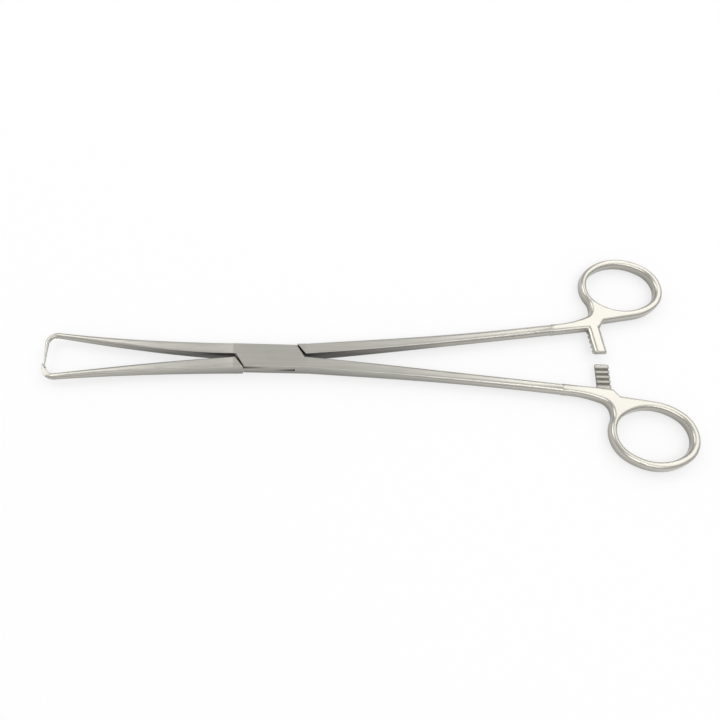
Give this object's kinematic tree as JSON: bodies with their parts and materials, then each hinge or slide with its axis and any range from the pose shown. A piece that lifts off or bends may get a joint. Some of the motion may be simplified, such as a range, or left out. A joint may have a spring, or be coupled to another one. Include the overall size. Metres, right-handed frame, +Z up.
{
  "type": "tenaculum forceps",
  "caption": "Long ring-handled grasping forceps with a box lock, two slender jaws that each end in one inward tooth, and a ratchet between the handles.",
  "frame": {"origin": "on the pivot pin's axis, in the level plane the tool rests on", "axes": "+X from the lock to the finger rings, +Y across the handles towards the tongue half's ring, +Z up along the pivot"},
  "size_m": [0.2488, 0.0942, 0.0062],
  "materials": {
    "satin_steel": "satin brushed stainless steel, grain along the shanks and jaws"
  },
  "bodies": {
    "box_side": {"box_half": "satin_steel", "pivot_pin": "satin_steel"},
    "tongue_side": {"tongue_half": "satin_steel"}
  },
  "joints": [
    {"name": "pivot", "type": "hinge", "parent": "box_side", "child": "tongue_side", "pos_m": [0, 0, 0.0031], "axis": [0, 0, 1], "range_deg": [-2.8, 32]}
  ]
}
